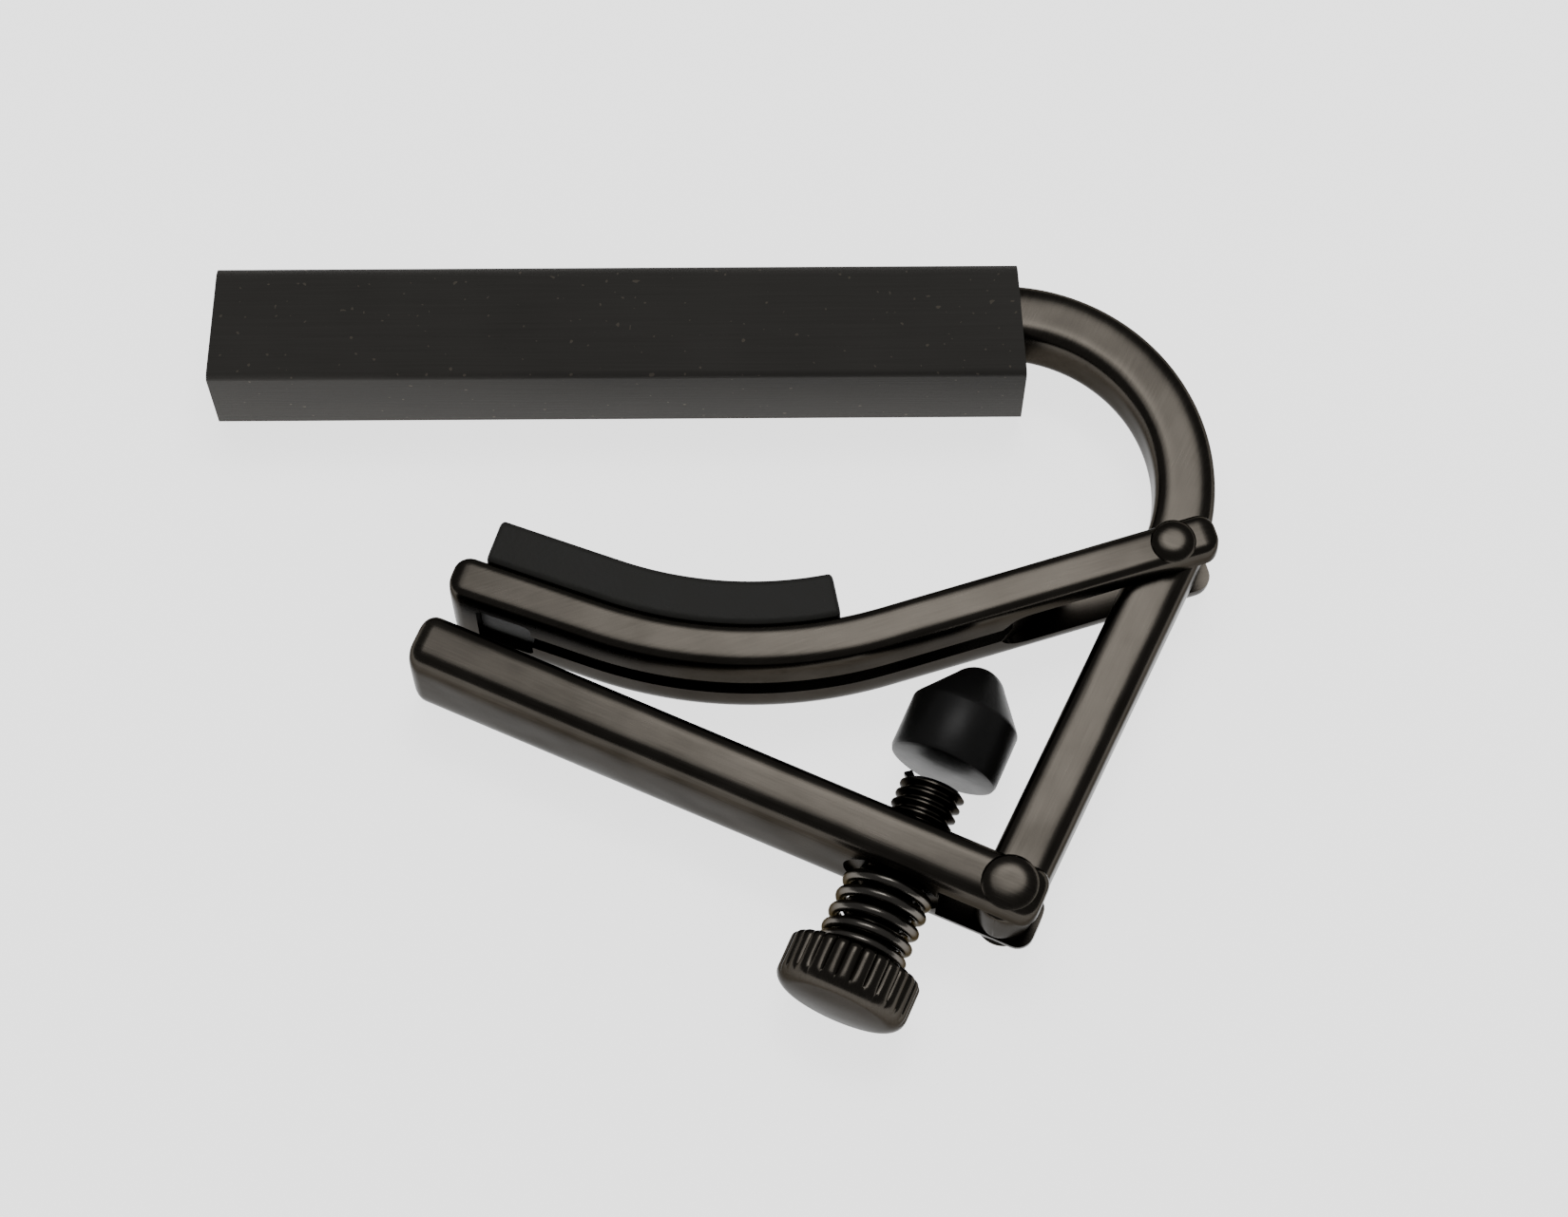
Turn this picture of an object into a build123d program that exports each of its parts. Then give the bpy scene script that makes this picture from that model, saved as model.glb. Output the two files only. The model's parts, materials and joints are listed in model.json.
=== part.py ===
"""Lever-action guitar capo, built from its real pieces, in millimetres.

A cast J-shaped bar carries a rubber sleeve that presses the strings. Its long link holds two
pivots: a padded clamp arm that bears on the back of the neck, and a lever below it. A thumbscrew
in the lever pushes the arm up through a pointed cap, and a spring keeps the screw from turning.

The capo lies on its side. +X runs along the sleeve towards the hook, +Y from the knob towards the
sleeve, and +Z out of the side. The origin is the centre of the underside of the bounding box.
"""

import os
from math import cos, radians, sin

from build123d import *

# ---- Driving dimensions -------------------------------------------------------------------

mid_height = 5.25          # the plane that halves the capo, above the surface it lies on

# J-bar: a flat-sided rod, straight inside the sleeve, bent into a hook, then the straight link
bar_width = 5.5            # across the capo
bar_depth = 4.45           # in the plane of the hook
bar_edge = 0.45            # chamfer of its long edges
hook_center_x = 21.27
hook_center_y = 12.12
hook_radius = 13.36        # to the middle of the rod
link_angle = -116.0        # direction of the link, from the arm's pivot to the lever's pivot
link_length = 28.24        # between the two pivots
bar_recess = 1.6           # from the sleeve's far end to the end of the rod

# String sleeve: rubber extrusion, thick below the rod where it meets the strings
sleeve_length = 60.0
sleeve_from_hook = 58.12   # from the hook's centre back to the sleeve's far end
sleeve_width = 8.7
sleeve_top_width = 8.3
sleeve_below_rod = 3.7
sleeve_above_rod = 1.0
sleeve_crown = 0.25
sleeve_top_round = 1.2
sleeve_bottom_round = 0.3
sleeve_end_slope = 3.2     # degrees: both ends are cut so that the back is the shorter side

# Clamp arm: flat bar bent to follow the back of a neck
arm_width = 9.5
arm_depth = 3.4
arm_angle = 196.8          # direction of its straight part, away from the pivot
arm_tail = 3.3             # beyond the pivot
arm_straight = 21.62       # from the pivot to the bend
arm_bend_radius = 33.0
arm_bend = 36.8            # degrees
arm_nose = 10.97           # straight part beyond the bend
arm_end_round = 1.2
arm_edge = 0.35
groove_width = 2.4         # V groove in which the cap's point slides
groove_depth = 1.0
groove_overrun = 1.0       # how far it runs into the relief and the window
window_start = 2.3         # from the nose's end to the window for the pad's plug
window_length = 4.2
window_width = 5.7
window_corner = 0.6
relief_length = 13.3       # sloped relief under the arm, which clears the folded link

# Neck pad: rubber strip on the arm
pad_thickness = 3.4
pad_width = 8.8
pad_from_nose = 1.9
pad_bend = 31.0            # degrees of the arm's bend that the pad covers
pad_edge = 0.3
pad_plug = 2.7             # how deep the pad's plug fills the window

# Lever
lever_width = 9.5
lever_depth = 4.4
lever_angle = 155.9        # direction from its pivot to its free end
lever_length = 46.0        # from its pivot to its free end
lever_tail = 2.6           # beyond its pivot
lever_edge = 0.55
lever_tip_round = 1.1
seat_radius = 3.7          # counterbore that seats the spring
seat_depth = 0.4

# Clevises and rivets
slot_width = 5.7
arm_slot_depth = 6.5       # from the pivot to the floor of the slot
lever_slot_depth = 4.5
shank_radius = 1.3
arm_head_radius = 1.65
lever_head_radius = 2.05
head_rise = 0.5
running_gap = 0.04         # between a shank and the hole that turns on it
countersink_angle = 90.0

# Adjusting screw, along its own axis: zero is the middle of the lever, plus is towards the arm
screw_from_pivot = 8.0
thread_radius = 2.415      # number 10 thread
knob_top = -8.2
knob_bottom = -12.2
knob_radius = 4.95
knob_round = 1.0           # outer rim
knob_chamfer = 0.6         # inner rim
knob_wall = 1.0            # closed end of the knob, which hides the end of the screw
flute_count = 28
flute_width = 0.7          # across the mouth of each V flute
flute_depth = 0.35
flute_end = 1.3            # the flutes stop this far above the knob's outer face
cap_bottom = 7.1
cap_shoulder = 11.6
cap_nose = 14.2            # where the cone runs into the round nose
cap_tip = 15.3
cap_radius = 4.075
nose_radius = 1.95         # of the cone where the nose starts
spigot_radius = 1.6        # reduced end of the screw, on which the cap turns
spigot_length = 3.8
turned_chamfer = 0.4       # on the screw's end and the cap's foot
cap_float = 0.1            # between the screw's shoulder and the cap
wire_radius = 0.43
spring_radius = 2.92       # to the middle of the wire
spring_turns = 5.4
spring_clearance = 0.02
wire_sides = 6             # flats that stand for the round wire

# ---- Derived frame --------------------------------------------------------------------------

mid_plane = Plane.XY.offset(mid_height)


def step(start, angle, distance):
    """The point a distance away from start, in a direction given in degrees."""
    return Vector(start) + Vector(cos(radians(angle)), sin(radians(angle))) * distance


hook_center = Vector(hook_center_x, hook_center_y)
rod_y = hook_center_y + hook_radius
sleeve_left = hook_center_x - sleeve_from_hook
arm_pivot = step(hook_center, link_angle + 90, hook_radius)
lever_pivot = step(arm_pivot, link_angle, link_length)
lever_plane = Plane((lever_pivot.X, lever_pivot.Y, mid_height),
                    x_dir=step((0, 0), lever_angle, 1))
screw_origin = step(lever_pivot, lever_angle, screw_from_pivot)
screw_dir = step((0, 0), lever_angle - 90, 1)


def screw_plane(along):
    """The plane across the screw's axis, a distance along it."""
    middle = screw_origin + screw_dir * along
    return Plane((middle.X, middle.Y, mid_height), x_dir=(0, 0, 1), z_dir=screw_dir)


def upright_plane(pivot, angle):
    """The plane through a pivot that holds a flat bar's length and the capo's width."""
    along = step((0, 0), angle, 1)
    return Plane((pivot.X, pivot.Y, mid_height), x_dir=along, z_dir=step((0, 0), angle - 90, 1))


# ---- J-bar ----------------------------------------------------------------------------------

with BuildPart() as main_bar:
    with BuildSketch(mid_plane):
        with BuildLine():
            rod = Line((sleeve_left + bar_recess + bar_depth / 2, rod_y), (hook_center_x, rod_y))
            hook = CenterArc(hook_center, hook_radius, 90, link_angle)
            Line(hook @ 1, (lever_pivot.X, lever_pivot.Y))
            offset(amount=bar_depth / 2)
        make_face()
    extrude(amount=bar_width / 2, both=True)
    rims = main_bar.edges().group_by(Axis.Z)
    chamfer(rims[0] + rims[-1], bar_edge)
    with Locations(*[(p.X, p.Y, mid_height) for p in (arm_pivot, lever_pivot)]):
        Hole(shank_radius + running_gap)
main_bar.part.label = "main_bar"

# ---- String sleeve --------------------------------------------------------------------------

sleeve_bottom = rod_y - bar_depth / 2 - sleeve_below_rod
sleeve_top = rod_y + bar_depth / 2 + sleeve_above_rod

with BuildPart() as string_sleeve:
    with BuildSketch(Plane.YZ.offset(sleeve_left)) as sleeve_section:
        with BuildLine():
            side = Polyline((sleeve_top - sleeve_crown, mid_height + sleeve_top_width / 2),
                            (sleeve_bottom, mid_height + sleeve_width / 2),
                            (sleeve_bottom, mid_height - sleeve_width / 2),
                            (sleeve_top - sleeve_crown, mid_height - sleeve_top_width / 2))
            ThreePointArc(side @ 1, (sleeve_top, mid_height), side @ 0)
        make_face()
        fillet(sleeve_section.vertices().group_by(Axis.X)[0], sleeve_bottom_round)
        fillet(sleeve_section.vertices().group_by(Axis.X)[-1], sleeve_top_round)
    extrude(amount=sleeve_length)
    with BuildSketch(Plane.YZ.offset(sleeve_left)):
        with Locations((rod_y, mid_height)):
            bore = Rectangle(bar_depth, bar_width)
        chamfer(bore.vertices(), bar_edge)
    extrude(amount=sleeve_length, mode=Mode.SUBTRACT)
    add(main_bar.part, mode=Mode.SUBTRACT)
    for end_x, slope, kept in ((sleeve_left, -sleeve_end_slope, Keep.TOP),
                               (sleeve_left + sleeve_length, sleeve_end_slope, Keep.BOTTOM)):
        split(bisect_by=Plane((end_x, sleeve_bottom, 0), z_dir=step((0, 0), slope, 1)), keep=kept)
string_sleeve.part.label = "string_sleeve"

# ---- Clamp arm ------------------------------------------------------------------------------

arm_start = step(arm_pivot, arm_angle + 180, arm_tail)
top_start = step(arm_start, arm_angle - 90, arm_depth / 2)


def arm_route(start, radius):
    """The arm's line, offset to pass through start: straight, bend, nose."""
    run = Line(start, step(start, arm_angle, arm_tail + arm_straight))
    bend = JernArc(run @ 1, run % 1, radius, -arm_bend)
    nose = Line(bend @ 1, step(bend @ 1, arm_angle - arm_bend, arm_nose))
    return run, bend, nose


with BuildLine(Plane.XY) as arm_top:
    top_run, top_bend, top_nose = arm_route(top_start, arm_bend_radius - arm_depth / 2)
under_start = step(arm_start, arm_angle + 90, arm_depth / 2)
with BuildLine(Plane.XY) as arm_under:
    under_run, under_bend, under_nose = arm_route(under_start, arm_bend_radius + arm_depth / 2)
nose_end = top_nose @ 1
nose_angle = arm_angle - arm_bend
arm_upright = upright_plane(arm_pivot, arm_angle)
window_middle = step(nose_end, nose_angle + 180, window_start + window_length / 2)

with BuildPart() as clamp_arm:
    with BuildSketch(mid_plane) as arm_side:
        with BuildLine():
            arm_route(top_start, arm_bend_radius - arm_depth / 2)
            arm_route(under_start, arm_bend_radius + arm_depth / 2)
            Line(top_start, under_start)
            Line(top_nose @ 1, under_nose @ 1)
        make_face()
        ends = [arm_side.vertices().sort_by_distance(point)[0]
                for point in (top_start, under_start, top_nose @ 1, under_nose @ 1)]
        fillet(ends, arm_end_round)
    extrude(amount=arm_width / 2, both=True)
    rims = clamp_arm.edges().group_by(Axis.Z)
    chamfer(rims[0] + rims[-1], arm_edge)
    # clevis slot, open at the tail
    with BuildSketch(arm_upright):
        with Locations(((arm_slot_depth - arm_tail - 1) / 2, 0)):
            Rectangle(arm_slot_depth + arm_tail + 1, slot_width)
    extrude(amount=arm_depth, both=True, mode=Mode.SUBTRACT)
    # relief under the arm, with a sloped floor that rises to the slot
    with BuildPart(mode=Mode.PRIVATE) as relief:
        with BuildSketch(Plane((arm_pivot.X, arm_pivot.Y, mid_height),
                               x_dir=step((0, 0), arm_angle, 1))):
            with BuildLine():
                Polyline((0, -arm_depth / 2), (arm_slot_depth, -arm_depth / 2),
                         (relief_length, arm_depth / 2), (relief_length, arm_depth),
                         (0, arm_depth), close=True)
            make_face()
        extrude(amount=slot_width / 2, both=True)
        with BuildSketch(arm_upright):
            with Locations((relief_length / 2 - slot_width, 0)):
                SlotOverall(relief_length + 2 * slot_width, slot_width)
        extrude(amount=2 * arm_depth, both=True, mode=Mode.INTERSECT)
    add(relief.part, mode=Mode.SUBTRACT)
    # window for the pad's plug
    with BuildSketch(Plane((window_middle.X, window_middle.Y, mid_height),
                           x_dir=step((0, 0), nose_angle, 1),
                           z_dir=step((0, 0), nose_angle - 90, 1))):
        RectangleRounded(window_length, window_width, window_corner)
    extrude(amount=arm_depth * 1.5, both=True, mode=Mode.SUBTRACT)
    # V groove along the underside, made as a swept bar of triangular section
    groove_start = step(under_start, arm_angle, arm_tail + relief_length - groove_overrun)
    with BuildLine() as groove_path:
        groove_run = Line((groove_start.X, groove_start.Y, mid_height),
                          ((under_bend @ 0).X, (under_bend @ 0).Y, mid_height))
        JernArc(groove_run @ 1, groove_run % 1, arm_bend_radius + arm_depth / 2, -arm_bend)
        groove_end = step(under_nose @ 1, nose_angle + 180, window_start + groove_overrun)
        Line(((under_nose @ 0).X, (under_nose @ 0).Y, mid_height),
             (groove_end.X, groove_end.Y, mid_height))
    with BuildSketch(Plane(groove_run @ 0, x_dir=(0, 0, 1), z_dir=groove_run % 0)):
        with BuildLine():
            Polyline((-groove_width / 2, 0), (0, groove_depth), (groove_width / 2, 0),
                     (groove_width / 2, -1), (-groove_width / 2, -1), close=True)
        make_face()
    sweep(path=groove_path.line, mode=Mode.SUBTRACT)
    # rivet hole through both ears, countersunk for the upset heads
    for face_z, outward in ((mid_height + arm_width / 2, 1), (mid_height - arm_width / 2, -1)):
        with Locations(Plane((arm_pivot.X, arm_pivot.Y, face_z), z_dir=(0, 0, outward))):
            CounterSinkHole(shank_radius, arm_head_radius, counter_sink_angle=countersink_angle)
clamp_arm.part.label = "clamp_arm"

# ---- Neck pad -------------------------------------------------------------------------------

pad_rise = arm_bend_radius - arm_depth / 2 - pad_thickness
bend_center = step(top_bend @ 1, nose_angle - 90, arm_bend_radius - arm_depth / 2)
pad_outer = step(nose_end, nose_angle + 180, pad_from_nose)

with BuildPart() as neck_pad:
    with BuildSketch(mid_plane) as pad_side:
        with BuildLine():
            under = Line(pad_outer, top_bend @ 1)
            under_arc = CenterArc(bend_center, arm_bend_radius - arm_depth / 2,
                                  nose_angle + 90, pad_bend)
            back_end = Line(under_arc @ 1, step(under_arc @ 1, nose_angle - 90 + pad_bend,
                                                pad_thickness))
            CenterArc(bend_center, pad_rise, nose_angle + 90, pad_bend)
            Line(step(top_bend @ 1, nose_angle - 90, pad_thickness),
                 step(pad_outer, nose_angle - 90, pad_thickness))
            Line(step(pad_outer, nose_angle - 90, pad_thickness), pad_outer)
        make_face()
    extrude(amount=pad_width / 2, both=True)
    rims = neck_pad.edges().group_by(Axis.Z)
    chamfer(rims[0] + rims[-1], pad_edge)
    with BuildSketch(Plane((window_middle.X, window_middle.Y, mid_height),
                           x_dir=step((0, 0), nose_angle, 1),
                           z_dir=step((0, 0), nose_angle - 90, 1))):
        RectangleRounded(window_length, window_width, window_corner)
    extrude(amount=-pad_plug)
neck_pad.part.label = "neck_pad"

# ---- Lever ----------------------------------------------------------------------------------

lever_upright = upright_plane(lever_pivot, lever_angle)

with BuildPart() as lever:
    with BuildSketch(lever_plane) as lever_side:
        with Locations(((lever_length - lever_tail) / 2, 0)):
            Rectangle(lever_length + lever_tail, lever_depth)
        along_lever = lever_side.vertices().sort_by_distance(lever_pivot)
        fillet(along_lever[-2:], lever_tip_round)
        fillet(lever_side.vertices().sort_by_distance(lever_pivot)[:2], arm_end_round)
    extrude(amount=lever_width / 2, both=True)
    rims = lever.edges().group_by(Axis.Z)
    chamfer(rims[0] + rims[-1], lever_edge)
    with BuildSketch(lever_upright):
        with Locations(((lever_slot_depth - lever_tail - 1) / 2, 0)):
            Rectangle(lever_slot_depth + lever_tail + 1, slot_width)
    extrude(amount=lever_depth, both=True, mode=Mode.SUBTRACT)
    with Locations(-screw_plane(-lever_depth / 2)):
        CounterBoreHole(thread_radius + running_gap, seat_radius, seat_depth)
    for face_z, outward in ((mid_height + lever_width / 2, 1), (mid_height - lever_width / 2, -1)):
        with Locations(Plane((lever_pivot.X, lever_pivot.Y, face_z), z_dir=(0, 0, outward))):
            CounterSinkHole(shank_radius, lever_head_radius, counter_sink_angle=countersink_angle)
lever.part.label = "lever"


# ---- Rivets ---------------------------------------------------------------------------------

def rivet(pivot, head_radius, name):
    """A pin upset into a countersunk head with a bevelled rim at each side."""
    half = arm_width / 2
    taper = head_radius - shank_radius
    with BuildPart() as pin:
        with BuildSketch(Plane((pivot.X, pivot.Y, mid_height), x_dir=(1, 0, 0),
                               z_dir=(0, -1, 0))):
            with BuildLine():
                Polyline((0, half + head_rise), (head_radius - head_rise, half + head_rise),
                         (head_radius, half), (shank_radius, half - taper), (shank_radius, 0),
                         (0, 0), close=True)
            make_face()
        revolve(axis=Axis((pivot.X, pivot.Y, 0), (0, 0, 1)))
        mirror(about=mid_plane)
    pin.part.label = name
    return pin.part


arm_rivet = rivet(arm_pivot, arm_head_radius, "arm_rivet")
lever_rivet = rivet(lever_pivot, lever_head_radius, "lever_rivet")

# ---- Adjusting screw, knob, spring and cap ---------------------------------------------------

screw_axis = Axis(screw_plane(0).origin, screw_dir)
across_screw = Plane(screw_plane(0).origin, x_dir=step((0, 0), lever_angle, 1), z_dir=(0, 0, -1))

with BuildPart() as adjusting_screw:
    with BuildSketch(screw_plane(knob_bottom + knob_wall)):
        Circle(thread_radius)
    extrude(amount=cap_bottom - cap_float - knob_bottom - knob_wall)
    chamfer(adjusting_screw.edges().sort_by(screw_axis)[-1], turned_chamfer)
    with BuildSketch(screw_plane(cap_bottom - cap_float)):
        Circle(spigot_radius)
    extrude(amount=spigot_length)
adjusting_screw.part.label = "adjusting_screw"

with BuildPart() as thumb_knob:
    with BuildSketch(screw_plane(knob_bottom)):
        Circle(knob_radius)
    extrude(amount=knob_top - knob_bottom)
    rims = thumb_knob.edges().filter_by(GeomType.CIRCLE).sort_by(screw_axis)
    fillet(rims[0], knob_round)
    chamfer(rims[-1], knob_chamfer)
    with BuildSketch(screw_plane(knob_bottom + flute_end)):
        with PolarLocations(knob_radius, flute_count):
            Polygon((-flute_depth, 0), (flute_depth, -flute_width), (flute_depth, flute_width),
                    align=None)
    extrude(amount=knob_top - knob_bottom, mode=Mode.SUBTRACT)
    with BuildSketch(screw_plane(knob_bottom + knob_wall)):
        Circle(thread_radius)
    extrude(amount=knob_top - knob_bottom, mode=Mode.SUBTRACT)
thumb_knob.part.label = "thumb_knob"

with BuildPart() as friction_spring:
    coil_start = knob_top + wire_radius
    coil_height = (seat_depth - lever_depth / 2 - knob_top - 2 * wire_radius
                   - spring_clearance)
    with BuildLine() as coil:
        Helix(coil_height / spring_turns, coil_height, spring_radius,
              center=screw_plane(coil_start).origin, direction=screw_dir)
    with BuildSketch(Plane(coil.line @ 0, z_dir=coil.line % 0)):
        RegularPolygon(wire_radius, wire_sides)
    sweep(path=coil.line, is_frenet=True)
friction_spring.part.label = "friction_spring"

nose_rise = cap_tip - cap_nose
nose_ball = (nose_radius ** 2 + nose_rise ** 2) / (2 * nose_rise)

with BuildPart() as bumper_cap:
    with BuildSketch(across_screw):
        with BuildLine():
            cone = Polyline((0, cap_bottom), (cap_radius - turned_chamfer, cap_bottom),
                            (cap_radius, cap_bottom + turned_chamfer), (cap_radius, cap_shoulder),
                            (nose_radius, cap_nose))
            nose = RadiusArc(cone @ 1, (0, cap_tip), -nose_ball)
            Line(nose @ 1, cone @ 0)
        make_face()
    revolve(axis=screw_axis)
    with BuildSketch(screw_plane(cap_bottom)):
        Circle(spigot_radius + running_gap)
    extrude(amount=spigot_length, mode=Mode.SUBTRACT)
bumper_cap.part.label = "bumper_cap"

# ---- Export ---------------------------------------------------------------------------------

pieces = [main_bar.part, string_sleeve.part, clamp_arm.part, neck_pad.part, arm_rivet, lever.part,
          lever_rivet, adjusting_screw.part, thumb_knob.part, friction_spring.part,
          bumper_cap.part]
os.makedirs("parts", exist_ok=True)
for piece in pieces:
    export_step(piece, f"parts/{piece.label}.step")
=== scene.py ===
import json
from math import asin, atan2, cos, pi, radians, sin

import bmesh
import bpy
from mathutils import Matrix, Vector


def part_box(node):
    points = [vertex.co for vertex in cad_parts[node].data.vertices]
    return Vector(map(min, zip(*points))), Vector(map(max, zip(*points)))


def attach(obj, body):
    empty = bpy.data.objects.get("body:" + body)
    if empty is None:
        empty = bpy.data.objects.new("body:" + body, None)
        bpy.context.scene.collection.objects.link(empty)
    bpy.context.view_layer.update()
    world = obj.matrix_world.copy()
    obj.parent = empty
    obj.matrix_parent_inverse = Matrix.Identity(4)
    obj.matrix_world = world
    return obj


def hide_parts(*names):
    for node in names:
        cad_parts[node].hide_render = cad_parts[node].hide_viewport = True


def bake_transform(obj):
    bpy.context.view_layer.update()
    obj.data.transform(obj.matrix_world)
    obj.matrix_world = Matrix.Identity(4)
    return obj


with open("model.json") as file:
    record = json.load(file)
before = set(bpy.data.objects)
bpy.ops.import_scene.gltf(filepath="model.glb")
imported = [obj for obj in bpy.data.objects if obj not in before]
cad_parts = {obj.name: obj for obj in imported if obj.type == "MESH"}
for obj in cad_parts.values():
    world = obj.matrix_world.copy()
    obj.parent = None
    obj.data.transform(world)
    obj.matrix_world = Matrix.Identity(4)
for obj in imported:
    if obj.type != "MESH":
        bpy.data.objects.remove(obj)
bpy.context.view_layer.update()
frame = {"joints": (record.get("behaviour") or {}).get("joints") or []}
mm = 0.001

# ---- J-bar -------------------------------------------------------------------------------------
# One cast brass rod: the straight tang inside the string sleeve, the hook, and the link that
# carries both pivots. Its sides are slightly crowned by tumbling and it is plated dark nickel.

pivots = {joint["name"]: Vector(joint["pos_m"]) for joint in frame["joints"] if "pos_m" in joint}
arm_pivot, lever_pivot = pivots["arm_swing"], pivots["lever_swing"]
mid_height = arm_pivot.z
link = lever_pivot - arm_pivot
link_angle = atan2(link.y, link.x)
bar_half = (2.225 * mm, 2.75 * mm)
bar_squareness = 5
bar_tip = (bar_half[0], 0.97 * bar_half[0], 0.6 * mm)
hook_radius = 13.36 * mm
hook_center = arm_pivot - Matrix.Rotation(link_angle + pi / 2, 3, "Z") @ Vector((hook_radius, 0, 0))
weld = 0.5e-6
nickel, worn_nickel = (0.0265, 0.0237, 0.0200), (0.052, 0.0465, 0.0398)
streak_stretch, streak_scale = 30, 9000


class Signal:
    """A node's output. Arithmetic on it adds Math nodes to its material."""

    def __init__(self, socket):
        self.socket = socket
        self.tree = socket.id_data

    def node(self, kind, settings, sockets, output=0):
        """Adds a node: its settings first, then the values or links of its sockets."""
        made = self.tree.nodes.new(kind)
        for name, value in settings.items():
            setattr(made, name, value)
        for name, value in sockets.items():
            if isinstance(value, Signal):
                self.tree.links.new(value.socket, made.inputs[name])
            else:
                made.inputs[name].default_value = value
        return Signal(made.outputs[output])

    def math(self, operation, first, second):
        return self.node("ShaderNodeMath", {"operation": operation}, {0: first, 1: second})

    def __add__(self, other):
        return self.math("ADD", self, other)

    def __sub__(self, other):
        return self.math("SUBTRACT", self, other)

    def __rsub__(self, other):
        return self.math("SUBTRACT", other, self)

    def __mul__(self, other):
        return self.math("MULTIPLY", self, other)

    __radd__ = __add__
    __rmul__ = __mul__

    def noise(self, scale, detail):
        """Cloudy values from 0 to 1 at this place; scale is features in a metre."""
        return self.node("ShaderNodeTexNoise", {}, {"Vector": self, "Scale": scale, "Detail": detail})

    def mix(self, low, high):
        """A colour between two, by this value."""
        return self.node("ShaderNodeMix", {"data_type": "RGBA"},
                         {"Factor": self, 6: (*low, 1), 7: (*high, 1)}, output=2)

    def along(self, angle, stretch):
        """This place, turned so that X runs along a piece, with X stretched to make streaks."""
        return self.node("ShaderNodeMapping", {"vector_type": "TEXTURE"},
                         {"Vector": self, "Rotation": (0, 0, angle), "Scale": (stretch, 1, 1)})


def finish(name, looks, relief, depth):
    """A material whose looks are a function from place to shader sockets, with relief as bump."""
    material = bpy.data.materials.new(name)
    material.use_nodes = True
    tree = material.node_tree
    place = Signal(tree.nodes.new("ShaderNodeTexCoord").outputs["Object"])
    shader = tree.nodes["Principled BSDF"]
    for socket, value in looks(place).items():
        if isinstance(value, Signal):
            tree.links.new(value.socket, shader.inputs[socket])
        else:
            shader.inputs[socket].default_value = value
    bump = place.node("ShaderNodeBump", {},
                      {"Height": relief(place), "Distance": depth, "Strength": 1.0})
    tree.links.new(bump.socket, shader.inputs["Normal"])
    return material


def smoked_plate(name, angle):
    """Dark nickel over tumbled brass, with faint polishing streaks along the piece."""
    waviness = 0.12 * mm

    def looks(place):
        streaks = place.along(angle, streak_stretch).noise(streak_scale, 3)
        clouds = place.noise(260, 3)
        worn = (clouds * 0.5 + streaks * 0.5 - 0.3) * 2.2
        return {"Base Color": worn.mix(nickel, worn_nickel),
                "Metallic": 1.0,
                "Roughness": 0.19 + clouds * 0.07 + streaks * 0.06,
                "Specular Tint": (0.42, 0.42, 0.42, 1)}

    def relief(place):
        streaks = place.along(angle, streak_stretch).noise(streak_scale, 2)
        return place.noise(170, 1) + streaks * 0.005

    return finish(name, looks, relief, waviness)


def cross_ring(bar, at, heading, half, squareness):
    """A closed ring of edges across a bar: a rounded oblong with crowned sides."""
    ring = bmesh.ops.create_circle(bar, segments=72, radius=1)["verts"]
    for point in ring:
        reach = (abs(point.co.x) ** squareness + abs(point.co.y) ** squareness) ** (1 / squareness)
        point.co = Vector((point.co.x * half[0], point.co.y * half[1], 0)) / reach
    side = Vector((-sin(heading), cos(heading), 0))
    ahead = Vector((cos(heading), sin(heading), 0))
    stand = Matrix((side, Vector((0, 0, 1)), ahead)).transposed().to_4x4()
    bmesh.ops.transform(bar, matrix=Matrix.Translation(at) @ stand, verts=ring)
    return list({edge for point in ring for edge in point.link_edges})


def run_on(bar, rim, heading, distance):
    """Extrudes an open rim straight on and gives the new rim."""
    grown = bmesh.ops.extrude_edge_only(bar, edges=rim)["geom"]
    points = {part for part in grown if isinstance(part, bmesh.types.BMVert)}
    ahead = Vector((cos(heading), sin(heading), 0)) * distance
    bmesh.ops.translate(bar, vec=ahead, verts=list(points))
    return [part for part in grown if isinstance(part, bmesh.types.BMEdge) and set(part.verts) <= points]


def bend_round(bar, rim, center, angle, steps):
    """Spins an open rim round an upright axis and gives the new rim."""
    points = list({point for edge in rim for point in edge.verts})
    spun = bmesh.ops.spin(bar, geom=rim + points, cent=center, axis=(0, 0, 1), angle=angle, steps=steps,
                          use_merge=False, use_duplicate=False)["geom_last"]
    return [part for part in spun if isinstance(part, bmesh.types.BMEdge)]


def close_end(bar, rim, heading, half, rounding, steps=6):
    """Rounds a bar off past an open rim: the ring shrinks along a quarter round, then is filled.

    The rounding is how far the end runs on, then how much the bar loses in depth and in width.
    """
    reach = (0.0, 0.0)
    least = 0.02
    for step in range(1, steps + 1):
        turn = step / steps * pi / 2
        rim = run_on(bar, rim, heading, rounding[0] * (sin(turn) - reach[0]))
        points = list({point for edge in rim for point in edge.verts})
        middle = sum((point.co for point in points), Vector()) / len(points)
        shrink = [max(least, 1 - edge * (1 - cos(turn)) / side) / max(least, 1 - edge * reach[1] / side)
                  for edge, side in zip(rounding[1:], half)]
        across = Matrix.Rotation(heading + pi / 2, 4, "Z")
        squeeze = across @ Matrix.Diagonal((shrink[0], 1, shrink[1], 1)) @ across.inverted()
        in_place = Matrix.Translation(middle) @ squeeze @ Matrix.Translation(-middle)
        bmesh.ops.transform(bar, matrix=in_place, verts=points)
        reach = (sin(turn), 1 - cos(turn))
    bmesh.ops.holes_fill(bar, edges=rim, sides=0)


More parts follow.
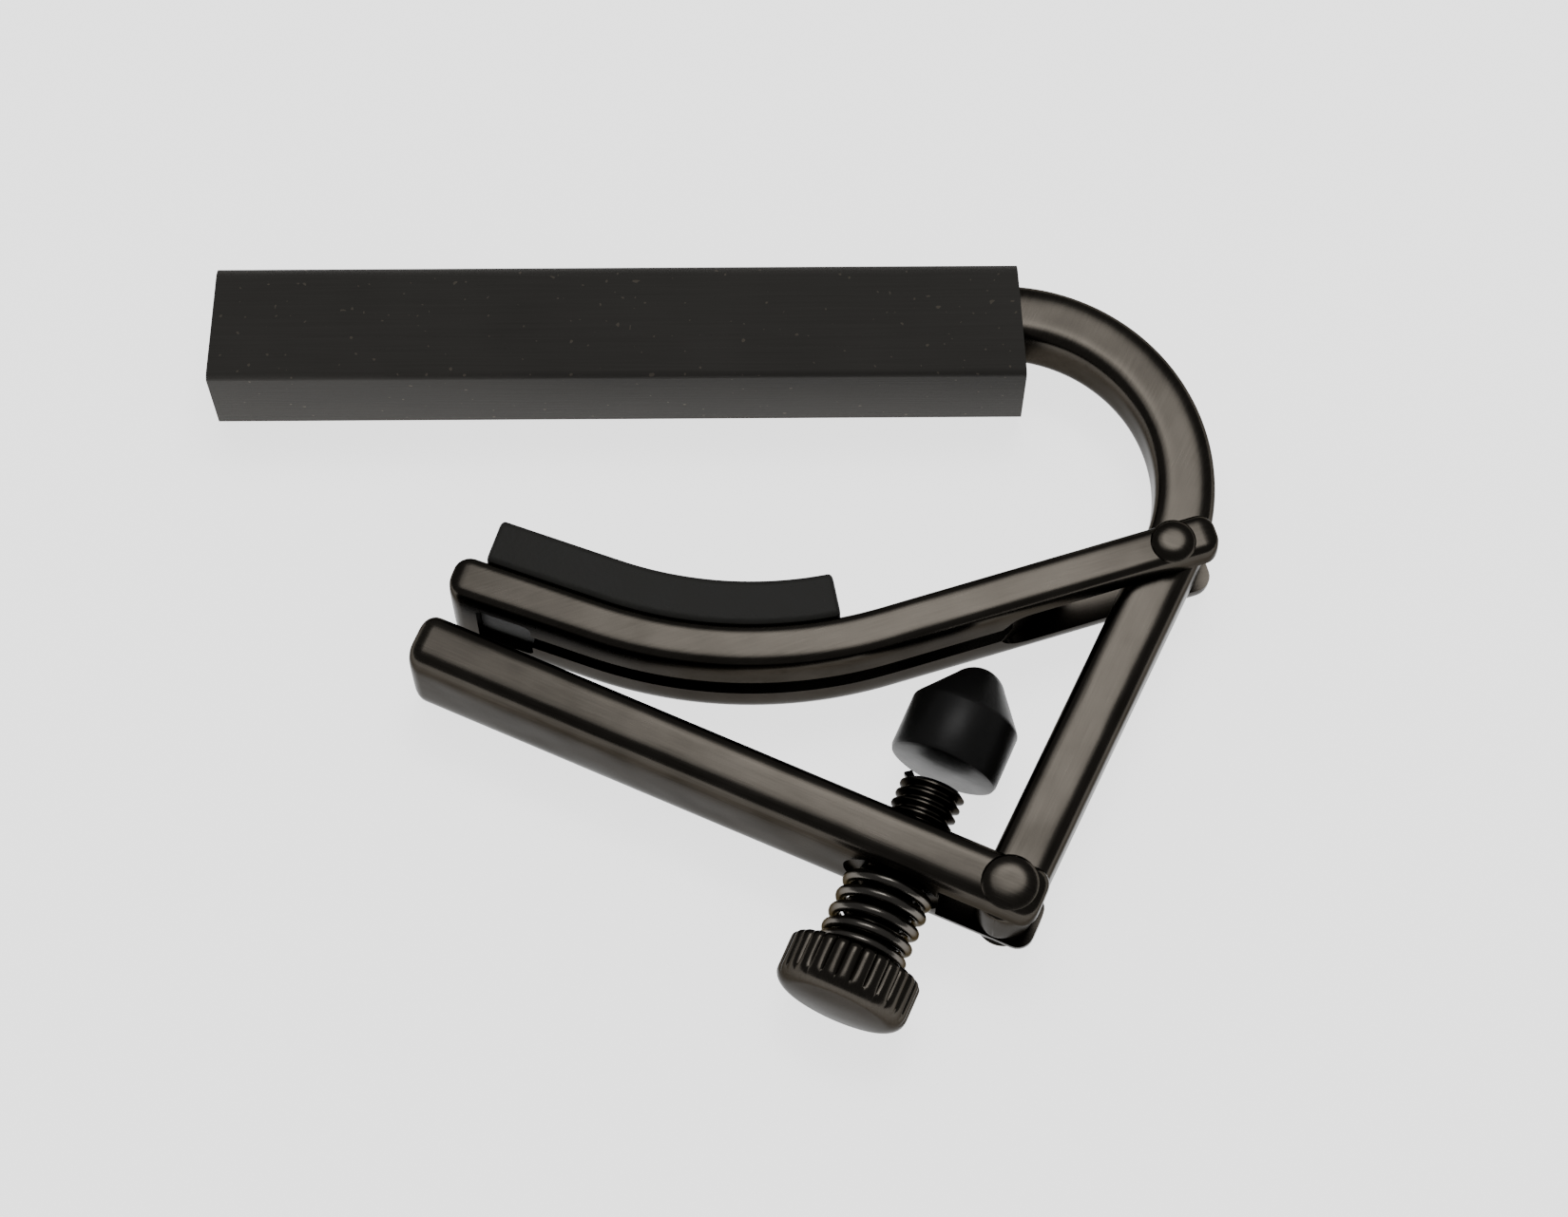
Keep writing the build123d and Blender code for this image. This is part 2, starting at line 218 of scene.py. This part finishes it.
def finished(name, shape, material, sharp=38):
    """Turns a bmesh into an object: closed, facing outwards, smooth but for its sharp edges."""
    bmesh.ops.remove_doubles(shape, verts=shape.verts, dist=weld)
    bmesh.ops.recalc_face_normals(shape, faces=shape.faces)
    mesh = bpy.data.meshes.new(name)
    shape.to_mesh(mesh)
    shape.free()
    mesh.shade_smooth()
    mesh.set_sharp_from_angle(angle=radians(sharp))
    mesh.materials.append(material)
    piece = bpy.data.objects.new(name, mesh)
    bpy.context.scene.collection.objects.link(piece)
    return piece


tang_start = Vector((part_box("main_bar")[0].x, hook_center.y + hook_radius, mid_height))
bar = bmesh.new()
tang_rim = cross_ring(bar, tang_start, 0, bar_half, bar_squareness)
bmesh.ops.holes_fill(bar, edges=tang_rim, sides=0)
rim = run_on(bar, tang_rim, 0, hook_center.x - tang_start.x)
rim = bend_round(bar, rim, hook_center, link_angle, 56)
rim = run_on(bar, rim, link_angle, link.length)
close_end(bar, rim, link_angle, bar_half, bar_tip, steps=14)
bar = finished("bar_casting", bar, smoked_plate("smoked_bar", link_angle))
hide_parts("main_bar")
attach(bar, "frame")

# ---- String sleeve -----------------------------------------------------------------------------
# An extruded rubber sleeve pushed over the tang, which presses the strings. The die leaves fine
# lines along it, and dust shows as tiny pale specks.

sleeve_low, sleeve_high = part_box("string_sleeve")
sleeve_half = (sleeve_high.z - sleeve_low.z) / 2
back_taper, bore_play = 0.2 * mm, 0.03 * mm
back_half = sleeve_half - back_taper
crease_round, back_round = 0.55 * mm, 1.1 * mm
end_slope = radians(3.2)
bore_half = tuple(half + bore_play for half in bar_half)
rubber_dark, rubber_pale = (0.034, 0.0325, 0.030), (0.062, 0.059, 0.0545)
dust = (0.10, 0.088, 0.074, 1)
line_stretch, line_scale = 60, 7000


def sleeve_looks(place):
    lines = place.along(0, line_stretch).noise(line_scale, 2)
    blotches = place.noise(150, 2)
    grains = place.noise(2300, 0)
    specks = grains.math("GREATER_THAN", grains, 0.8)
    rubber = (lines * 0.55 + blotches * 0.45).mix(rubber_dark, rubber_pale)
    dusty = specks.node("ShaderNodeMix", {"data_type": "RGBA"}, {"Factor": specks, 6: rubber, 7: dust},
                        output=2)
    return {"Base Color": dusty, "Roughness": 0.58 + lines * 0.15 + blotches * 0.06,
            "Specular IOR Level": 0.06}


def sleeve_relief(place):
    lines = place.along(0, line_stretch).noise(line_scale, 2)
    return lines + place.noise(3500, 2) * 0.5 + place.noise(120, 1) * 4


sleeve = bmesh.new()
section = [sleeve.verts.new((sleeve_low.x, depth, mid_height + half)) for depth, half in
           ((sleeve_low.y, -sleeve_half), (sleeve_low.y, sleeve_half), (sleeve_high.y, back_half),
            (sleeve_high.y, -back_half))]
sleeve.faces.new(section)
for corners, rounding in ((section[2:], back_round), (section[:2], crease_round)):
    bmesh.ops.bevel(sleeve, geom=corners, offset=rounding, segments=8, profile=0.5, affect="VERTICES",
                    material=-1)
outer = [edge for edge in sleeve.edges if edge.is_boundary]
bore_start = Vector((sleeve_low.x, tang_start.y, mid_height))
bore = cross_ring(sleeve, bore_start, 0, bore_half, bar_squareness)
bmesh.ops.delete(sleeve, geom=sleeve.faces[:], context="FACES_ONLY")
bmesh.ops.triangle_fill(sleeve, edges=outer + bore, use_beauty=True, use_dissolve=False)
end_face = sleeve.faces[:] + sleeve.edges[:] + sleeve.verts[:]
grown = bmesh.ops.extrude_face_region(sleeve, geom=end_face)["geom"]
bmesh.ops.translate(sleeve, vec=(sleeve_high.x - sleeve_low.x, 0, 0),
                    verts=[part for part in grown if isinstance(part, bmesh.types.BMVert)])
for point in sleeve.verts:
    inward = (point.co.y - sleeve_low.y) * sin(end_slope)
    point.co.x += inward if point.co.x < 0 else -inward
sleeve_rubber = finish("sleeve_rubber", sleeve_looks, sleeve_relief, 0.02 * mm)
sleeve = finished("rubber_sleeve", sleeve, sleeve_rubber, sharp=50)
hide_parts("string_sleeve")
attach(sleeve, "frame")

# ---- Clamp arm ---------------------------------------------------------------------------------
# A flat brass bar bent to follow the back of a neck. Its tail is slotted to straddle the link, a
# groove underneath guides the cap's point, and a window near the nose holds the pad's plug.

arm_half = (1.7 * mm, 4.75 * mm)
arm_angle = radians(196.8)
arm_bend = radians(-36.8)
arm_radius = 33.0 * mm
arm_tail, arm_straight, arm_nose = 3.3 * mm, 21.62 * mm, 10.97 * mm
arm_squareness = 7
end_round = 1.2 * mm
arm_tip = (end_round, end_round, 0.5 * mm)
bend_steps = 28
slot_half = 2.85 * mm
arm_slot = 6.5 * mm
relief_length = 13.3 * mm
groove_half, groove_depth = 1.2 * mm, 1.0 * mm
relief_round, window_round = 2.2 * mm, 0.6 * mm
window_start, window_length = 2.3 * mm, 4.2 * mm
past = 1.0 * mm
cut_sharp = 34


def ahead(angle, distance):
    """A step in a direction in the plane of the capo."""
    return Vector((cos(angle), sin(angle), 0)) * distance


def block(outline, half_width, rounded=(), rounding=0.0):
    """A tool: an outline in the plane of the capo, extruded across it.

    The edges of its two sides that run from one rounded corner to another are rounded.
    """
    tool = bmesh.new()
    across_capo = Vector((0, 0, half_width))
    face = tool.faces.new([tool.verts.new(point - across_capo) for point in outline])
    grown = bmesh.ops.extrude_face_region(tool, geom=[face])["geom"]
    bmesh.ops.translate(tool, vec=2 * across_capo,
                        verts=[part for part in grown if isinstance(part, bmesh.types.BMVert)])
    corners = [outline[number].xy for number in rounded]
    edges = [edge for edge in tool.edges
             if abs(edge.verts[0].co.z - edge.verts[1].co.z) < weld
             and all(any((point.co.xy - corner).length < weld for corner in corners)
                     for point in edge.verts)]
    if edges:
        bmesh.ops.bevel(tool, geom=edges, offset=rounding, segments=8, profile=0.5, affect="EDGES",
                        material=-1)
    return tool


def cut(piece, tools):
    """Cuts closed tools out of a piece."""
    cutters = [finished(f"tool_{number}", tool, piece.data.materials[0])
               for number, tool in enumerate(tools)]
    for cutter in cutters:
        boolean = piece.modifiers.new(cutter.name, "BOOLEAN")
        boolean.object = cutter
        boolean.solver = "EXACT"
    shaped = bpy.data.meshes.new_from_object(piece.evaluated_get(bpy.context.evaluated_depsgraph_get()))
    piece.modifiers.clear()
    piece.data = shaped
    shaped.shade_smooth()
    shaped.set_sharp_from_angle(angle=radians(cut_sharp))
    for cutter in cutters:
        bpy.data.objects.remove(cutter)


def oblong(start, angle, near, far, low, high):
    """The corners of a box along a bar, from near to far, and from low to high across its depth."""
    return [start + ahead(angle, along) + ahead(angle + pi / 2, deep)
            for along, deep in ((near, low), (far, low), (far, high), (near, high))]


smoked_arm = smoked_plate("smoked_arm", arm_angle)
bend_center = arm_pivot + ahead(arm_angle, arm_straight) + ahead(arm_angle - pi / 2, arm_radius)
nose_angle = arm_angle + arm_bend
arm = bmesh.new()
arm_start = arm_pivot - ahead(arm_angle, arm_tail - end_round)
rim = cross_ring(arm, arm_start, arm_angle, arm_half, arm_squareness)
close_end(arm, rim, arm_angle + pi, arm_half, arm_tip)
rim = run_on(arm, rim, arm_angle, arm_tail - end_round + arm_straight)
rim = bend_round(arm, rim, bend_center, arm_bend, bend_steps)
rim = run_on(arm, rim, nose_angle, arm_nose - end_round)
close_end(arm, rim, nose_angle, arm_half, arm_tip)
arm = finished("arm_casting", arm, smoked_arm)

nose_end = bend_center + ahead(nose_angle + pi / 2, arm_radius) + ahead(nose_angle, arm_nose)
clevis = block(oblong(arm_pivot, arm_angle, -arm_tail - past, arm_slot, -2 * past, 2 * past),
               slot_half)
slope = [arm_pivot + ahead(arm_angle, along) + ahead(arm_angle + pi / 2, deep)
         for along, deep in ((0, -arm_half[0]), (arm_slot, -arm_half[0]), (relief_length, arm_half[0]),
                             (relief_length, 2 * arm_half[0]), (0, 2 * arm_half[0]))]
relief = block(slope, slot_half, (2, 3), relief_round)
window = block(oblong(nose_end, nose_angle, -window_start - window_length, -window_start,
                      -2 * arm_half[0], 2 * arm_half[0]), slot_half, (0, 1, 2, 3), window_round)
groove = bmesh.new()
groove_start = (arm_pivot + ahead(arm_angle, relief_length - past)
                + ahead(arm_angle + pi / 2, arm_half[0]))
corners = [groove.verts.new(groove_start - ahead(arm_angle + pi / 2, deep) + Vector((0, 0, wide)))
           for deep, wide in ((0, -groove_half), (groove_depth, 0), (0, groove_half),
                              (-past, groove_half), (-past, -groove_half))]
rim = [groove.edges.new((corners[n - 1], corners[n])) for n in range(len(corners))]
bmesh.ops.holes_fill(groove, edges=rim, sides=0)
rim = run_on(groove, rim, arm_angle, arm_straight - relief_length + past)
rim = bend_round(groove, rim, bend_center, arm_bend, bend_steps)
rim = run_on(groove, rim, nose_angle, arm_nose - window_start - past)
bmesh.ops.holes_fill(groove, edges=rim, sides=0)
cut(arm, [clevis, relief, window, groove])
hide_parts("clamp_arm")
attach(arm, "arm")

# ---- Neck pad ----------------------------------------------------------------------------------
# A moulded rubber strip that bears on the back of the neck. It lies along the arm's nose and bend,
# and a plug on its back is pressed into the arm's window.

pad_half = (1.7 * mm, 4.4 * mm)
pad_from_nose = 1.9 * mm
pad_sink = 0.04 * mm
pad_bend = radians(31)
pad_squareness = 16
pad_edge = 0.35 * mm
pad_rim = (pad_edge, pad_edge, pad_edge)
plug_depth, plug_sink, plug_play = 2.7 * mm, 0.5 * mm, 0.05 * mm


def pad_looks(place):
    haze = place.noise(420, 3)
    return {"Base Color": haze.mix((0.020, 0.0198, 0.018), (0.034, 0.0333, 0.030)),
            "Roughness": 0.5 + haze * 0.14, "Specular IOR Level": 0.2}


def pad_relief(place):
    return place.noise(2600, 3) + place.noise(300, 1) * 2


pad_lift = arm_half[0] + pad_half[0] - pad_sink
pad_start = (nose_end - ahead(nose_angle, pad_from_nose + pad_edge)
             + ahead(nose_angle - pi / 2, pad_lift))
pad = bmesh.new()
rim = cross_ring(pad, pad_start, nose_angle + pi, pad_half, pad_squareness)
close_end(pad, rim, nose_angle, pad_half, pad_rim, steps=4)
rim = run_on(pad, rim, nose_angle + pi, arm_nose - pad_from_nose - pad_edge)
rim = bend_round(pad, rim, bend_center, pad_bend, 24)
close_end(pad, rim, nose_angle + pi + pad_bend, pad_half, pad_rim, steps=4)
pad_finish = finish("pad_rubber", pad_looks, pad_relief, 0.03 * mm)
pad = finished("pad_strip", pad, pad_finish)
plug = block(oblong(nose_end, nose_angle, -window_start - window_length + plug_play,
                    -window_start - plug_play, -arm_half[0] - plug_sink, plug_depth - arm_half[0]),
             slot_half - plug_play)
plug = finished("pad_plug", plug, pad_finish)
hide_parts("neck_pad")
for piece in (pad, plug):
    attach(piece, "arm")

# ---- Lever -------------------------------------------------------------------------------------
# A cast brass lever that folds up against the arm. Two ears straddle the link, and the screw's
# tapped hole is counterbored underneath to seat the spring.

lever_half = (2.2 * mm, 4.75 * mm)
lever_angle = radians(155.9)
lever_length, lever_tail = 46.0 * mm, 2.6 * mm
lever_round = 1.1 * mm
ear_tip = (end_round, end_round, 0.7 * mm)
lever_tip = (lever_round, lever_round, 0.9 * mm)
lever_slot = 4.5 * mm
screw_from_pivot = 8.0 * mm
thread_radius = 2.415 * mm
seat_radius, seat_depth = 3.7 * mm, 0.4 * mm

screw_aim = ahead(lever_angle - pi / 2, 1)
screw_place = Matrix((ahead(lever_angle, 1), Vector((0, 0, 1)), screw_aim)).transposed().to_4x4()
screw_place = Matrix.Translation(lever_pivot + ahead(lever_angle, screw_from_pivot)) @ screw_place


def turned(outline, place, steps=72):
    """A turned shape: an outline of radius and height, spun once round its axis and put in place."""
    shape = bmesh.new()
    points = [shape.verts.new((radius, 0, height)) for radius, height in outline]
    edges = [shape.edges.new(pair) for pair in zip(points, points[1:])]
    bmesh.ops.spin(shape, geom=points + edges, cent=(0, 0, 0), axis=(0, 0, 1), angle=2 * pi, steps=steps,
                   use_merge=True, use_duplicate=False)
    bmesh.ops.transform(shape, matrix=place, verts=shape.verts)
    bmesh.ops.remove_doubles(shape, verts=shape.verts, dist=weld)
    return shape


smoked_lever = smoked_plate("smoked_lever", lever_angle)
lever = bmesh.new()
lever_start = lever_pivot - ahead(lever_angle, lever_tail - end_round)
rim = cross_ring(lever, lever_start, lever_angle, lever_half, bar_squareness)
close_end(lever, rim, lever_angle + pi, lever_half, ear_tip)
rim = run_on(lever, rim, lever_angle, lever_tail - end_round + lever_length - lever_round)
close_end(lever, rim, lever_angle, lever_half, lever_tip)
lever = finished("lever_casting", lever, smoked_lever)
clevis = block(oblong(lever_pivot, lever_angle, -lever_tail - past, lever_slot, -3 * past, 3 * past),
               slot_half)
under, over = -lever_half[0] - past, lever_half[0] + past
seat = turned([(0, under), (seat_radius, under), (seat_radius, under + past + seat_depth),
               (0, under + past + seat_depth)], screw_place)
tapping = turned([(0, under - past), (thread_radius, under - past), (thread_radius, over), (0, over)],
                 screw_place)
cut(lever, [clevis, seat, tapping])
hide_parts("lever")
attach(lever, "lever")

# ---- Rivets ------------------------------------------------------------------------------------
# A plated brass pin through both ears at each pivot. Its ends are upset into domed heads that
# stand proud of the ears over a fine shadow line.

shank_radius = 1.3 * mm
head_rise = 0.5 * mm
head_inset, head_lip, head_depth = 0.06 * mm, 0.12 * mm, 0.4 * mm
ear_face = arm_half[1]
dome_steps = 14


def rivet(name, pivot, head_radius, body, node):
    """A pin with a domed head at both ends."""
    dome = [(head_radius * share, ear_face + head_rise * (1 - share ** 4) ** 0.7)
            for share in [step / dome_steps for step in range(dome_steps + 1)]]
    top = dome + [(head_radius - head_inset, ear_face - head_lip), (shank_radius, ear_face - head_depth)]
    outline = top + [(radius, -height) for radius, height in reversed(top)]
    pin = finished(name, turned(outline, Matrix.Translation(pivot), 48), smoked_lever, sharp=50)
    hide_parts(node)
    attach(pin, body)


rivet("arm_pin", arm_pivot, 1.65 * mm, "arm", "arm_rivet")
rivet("lever_pin", lever_pivot, 2.05 * mm, "lever", "lever_rivet")

# ---- Adjusting screw ---------------------------------------------------------------------------
# A plated number 10 screw, cut with 32 threads to the inch. It is tapped into the lever, and its
# reduced end carries the cap.

thread_pitch = 25.4 / 32 * mm
thread_depth = 0.46 * mm
thread_flat = 0.1 * mm
screw_low, screw_high = -11.2 * mm, 7.0 * mm
thread_steps = 32
turn_weld = 0.002 * mm
screw_finish = smoked_plate("smoked_screw", lever_angle - pi / 2)

screw = bmesh.new()
root_radius = thread_radius - thread_depth
turn_outline = [(root_radius, 0), (root_radius, thread_flat),
                (thread_radius, thread_pitch / 2 - thread_flat / 2),
                (thread_radius, thread_pitch / 2 + thread_flat / 2), (root_radius, thread_pitch)]
points = [screw.verts.new((radius, 0, screw_low + height)) for radius, height in turn_outline]
edges = [screw.edges.new(pair) for pair in zip(points, points[1:])]
turns = int((screw_high - screw_low) / thread_pitch) - 1
bmesh.ops.spin(screw, geom=points + edges, cent=(0, 0, 0), axis=(0, 0, 1), angle=2 * pi * turns,
               steps=thread_steps * turns, dvec=(0, 0, thread_pitch / thread_steps),
               use_merge=False, use_duplicate=False)
bmesh.ops.remove_doubles(screw, verts=screw.verts, dist=turn_weld)
bmesh.ops.holes_fill(screw, edges=[edge for edge in screw.edges if edge.is_boundary], sides=0)
bmesh.ops.transform(screw, matrix=screw_place, verts=screw.verts)
screw = finished("threaded_screw", screw, screw_finish, sharp=30)
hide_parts("adjusting_screw")
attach(screw, "screw")

# ---- Thumb knob --------------------------------------------------------------------------------
# The screw's plated brass head. Convex ribs run from its inner rim over two thirds of its height,
# and its outer rim and face are smooth and rounded.

knob_low, knob_high = -12.2 * mm, -8.2 * mm
knob_radius = 4.95 * mm
knob_rim = 1.3 * mm
inner_rim = 0.5 * mm
rib_count = 28
rib_depth = 0.26 * mm
rib_end = knob_low + 1.35 * mm
rib_start, rib_lead, rib_fade = knob_low + 0.8 * mm, 0.7 * mm, 0.9 * mm
rib_root, rib_ease, rib_fullness = 0.72, 0.1, 0.55
face_rise = 0.18 * mm
back_land = 1.2 * mm

quarter = [step / 8 * pi / 2 for step in range(9)]
face_dome = [(share * (knob_radius - knob_rim), knob_low + face_rise * share ** 2)
             for share in (0, 0.25, 0.5, 0.75, 1)]
outer_rim = [(knob_radius - knob_rim * (1 - sin(turn)),
              knob_low + face_rise + (knob_rim - face_rise) * (1 - cos(turn))) for turn in quarter[1:]]
side_low, side_high = knob_low + knob_rim, knob_high - inner_rim
side = [(knob_radius, side_low + (side_high - side_low) * step / 5) for step in range(1, 5)]
rolled = [(knob_radius - inner_rim * (1 - cos(turn)), knob_high - inner_rim * (1 - sin(turn)))
          for turn in quarter[::2]]
knob_back = [(knob_radius - back_land, knob_high), (0, knob_high)]
knob = turned(face_dome + outer_rim + side + rolled + knob_back, Matrix(), rib_count * 10)
for point in knob.verts:
    spread = point.co.xy.length
    if spread > rib_root * knob_radius and point.co.z > rib_start:
        turn = atan2(point.co.y, point.co.x) * rib_count / 2
        grown = min(1, max(0, (point.co.z - rib_end + rib_lead) / rib_fade))
        worn = min(1, (spread / knob_radius - rib_root) / rib_ease)
        valley = rib_depth * (1 - abs(cos(turn)) ** rib_fullness) * grown * worn
        point.co.xy *= 1 - valley / spread
bmesh.ops.transform(knob, matrix=screw_place, verts=knob.verts)
knob = finished("ribbed_knob", knob, screw_finish, sharp=60)
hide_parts("thumb_knob")
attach(knob, "screw")

# ---- Friction spring ---------------------------------------------------------------------------
# A plated steel compression spring between the knob and the lever's seat, which keeps the screw
# from turning by itself. Its end coils are closed and its middle turns are open.

wire_radius = 0.43 * mm
coil_radius = 2.92 * mm
closed_turns, open_turns = 0.9, 3.1
closed_pitch = 0.9 * mm
coil_steps = 40
seat_gap = 0.02 * mm
spring_low = knob_high + wire_radius
spring_high = seat_depth - lever_half[0] - wire_radius - seat_gap
open_rise = spring_high - spring_low - 2 * closed_turns * closed_pitch


def wire_looks(place):
    haze = place.noise(900, 2)
    return {"Base Color": haze.mix((0.075, 0.069, 0.062), (0.11, 0.102, 0.092)), "Metallic": 1.0,
            "Roughness": 0.2 + haze * 0.08, "Specular Tint": (0.3, 0.29, 0.27, 1)}


def wire_relief(place):
    return place.noise(1500, 2)


spring = bmesh.new()
ring = bmesh.ops.create_circle(spring, segments=20, radius=wire_radius)["verts"]
stand = Matrix.Translation((coil_radius, 0, spring_low)) @ Matrix.Rotation(pi / 2, 4, "X")
bmesh.ops.transform(spring, matrix=stand, verts=ring)
rim = list({edge for point in ring for edge in point.link_edges})
bmesh.ops.holes_fill(spring, edges=rim, sides=0)
for count, rise in ((closed_turns, closed_turns * closed_pitch), (open_turns, open_rise),
                    (closed_turns, closed_turns * closed_pitch)):
    steps = round(count * coil_steps)
    loop = list({point for edge in rim for point in edge.verts})
    spun = bmesh.ops.spin(spring, geom=rim + loop, cent=(0, 0, 0), axis=(0, 0, 1), angle=2 * pi * count,
                          steps=steps, dvec=(0, 0, rise / steps), use_merge=False,
                          use_duplicate=False)["geom_last"]
    rim = [part for part in spun if isinstance(part, bmesh.types.BMEdge)]
bmesh.ops.holes_fill(spring, edges=rim, sides=0)
bmesh.ops.transform(spring, matrix=screw_place, verts=spring.verts)
spring_wire = finish("spring_wire", wire_looks, wire_relief, 0.01 * mm)
spring = finished("wire_spring", spring, spring_wire, sharp=50)
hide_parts("friction_spring")
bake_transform(spring)

# ---- Bumper cap --------------------------------------------------------------------------------
# A moulded black plastic cap on the screw's reduced end. Its point slides in the arm's groove while
# the screw turns inside it.

cap_low, cap_shoulder, cap_nose, cap_tip = 7.1 * mm, 11.6 * mm, 14.2 * mm, 15.3 * mm
cap_radius = 4.075 * mm
nose_radius, nose_ball = 1.95 * mm, 2.28 * mm
cap_edge = 0.4 * mm
shoulder_low, shoulder_in, shoulder_rise = 0.2 * mm, 0.05 * mm, 0.17 * mm


def cap_looks(place):
    haze = place.noise(500, 3)
    return {"Base Color": haze.mix((0.005, 0.005, 0.005), (0.010, 0.0095, 0.009)),
            "Roughness": 0.34 + haze * 0.14, "Specular IOR Level": 0.22}


def cap_relief(place):
    return place.noise(800, 2)


nose_sweep = asin(nose_radius / nose_ball)
nose = [(nose_ball * sin(turn), cap_tip - nose_ball * (1 - cos(turn)))
        for turn in [nose_sweep * (1 - step / 8) for step in range(9)]]
cap_outline = [(0, cap_low), (cap_radius - cap_edge, cap_low),
               (cap_radius - 0.3 * cap_edge, cap_low + 0.3 * cap_edge),
               (cap_radius, cap_low + cap_edge), (cap_radius, cap_shoulder - shoulder_low),
               (cap_radius - shoulder_in, cap_shoulder - shoulder_in),
               (cap_radius - shoulder_low, cap_shoulder + shoulder_rise)] + nose
cap_plastic = finish("cap_plastic", cap_looks, cap_relief, 0.02 * mm)
cap = finished("pointed_cap", turned(cap_outline, screw_place), cap_plastic, sharp=30)
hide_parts("bumper_cap")
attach(cap, "bumper")

# ---- Studio ------------------------------------------------------------------------------------
# A matt white sheet that glows a little, a broad softbox and a narrow one high up on the
# sleeve's side, and a dim white world.

floor_half = 1.5
floor_mesh = bpy.data.meshes.new("studio_floor")
floor = bpy.data.objects.new("studio_floor", floor_mesh)
bpy.context.scene.collection.objects.link(floor)
sheet = bmesh.new()
bmesh.ops.create_grid(sheet, x_segments=1, y_segments=1, size=floor_half)
sheet.to_mesh(floor_mesh)
sheet.free()
pale = bpy.data.materials.new("pale_floor")
pale.use_nodes = True
pale_shader = pale.node_tree.nodes["Principled BSDF"]
pale_shader.inputs["Base Color"].default_value = (0.85, 0.85, 0.85, 1)
pale_shader.inputs["Roughness"].default_value = 0.9
pale_shader.inputs["Emission Color"].default_value = (1, 1, 1, 1)
pale_shader.inputs["Emission Strength"].default_value = 2.0
floor_mesh.materials.append(pale)


def lamp(name, place, size, energy):
    """A rectangular softbox above the capo that faces its middle."""
    light = bpy.data.lights.new(name, "AREA")
    light.shape = "RECTANGLE"
    light.size, light.size_y = size
    light.energy = energy
    box = bpy.data.objects.new(name, light)
    bpy.context.scene.collection.objects.link(box)
    box.location = place
    box.rotation_euler = Vector(place).to_track_quat("Z", "Y").to_euler()


lamp("wide_softbox", (-0.02, 0.20, 0.58), (0.36, 0.26), 0.82)
lamp("strip_softbox", (0.07, 0.185, 0.54), (0.20, 0.085), 0.4)

world = bpy.data.worlds.new("studio")
bpy.context.scene.world = world
world.use_nodes = True
sky = world.node_tree.nodes["Background"]
sky.inputs["Color"].default_value = (1, 1, 1, 1)
sky.inputs["Strength"].default_value = 0.25

# ---- Camera ------------------------------------------------------------------------------------
# A long lens that looks down on the middle of the capo, tilted so that the lower sides of its
# bars show.

tilt, yaw, roll = radians(19.776), radians(-0.298), radians(-0.447)
back = Vector((sin(yaw) * cos(tilt), -sin(tilt), cos(yaw) * cos(tilt)))
right = Vector((0, 1, 0)).cross(back).normalized()
up = back.cross(right)
across = cos(roll) * right + sin(roll) * up
upright = -sin(roll) * right + cos(roll) * up
aim = Vector((0.00527, 0.00302, mid_height))
distance = 0.30958
focal_length = 97.83
camera_data = bpy.data.cameras.new("camera")
camera_data.lens = focal_length
camera_data.sensor_width = 36
camera = bpy.data.objects.new("camera", camera_data)
bpy.context.scene.collection.objects.link(camera)
facing = Matrix((across, upright, back)).transposed().to_4x4()
camera.matrix_world = Matrix.Translation(aim + back * distance) @ facing
bpy.context.scene.camera = camera
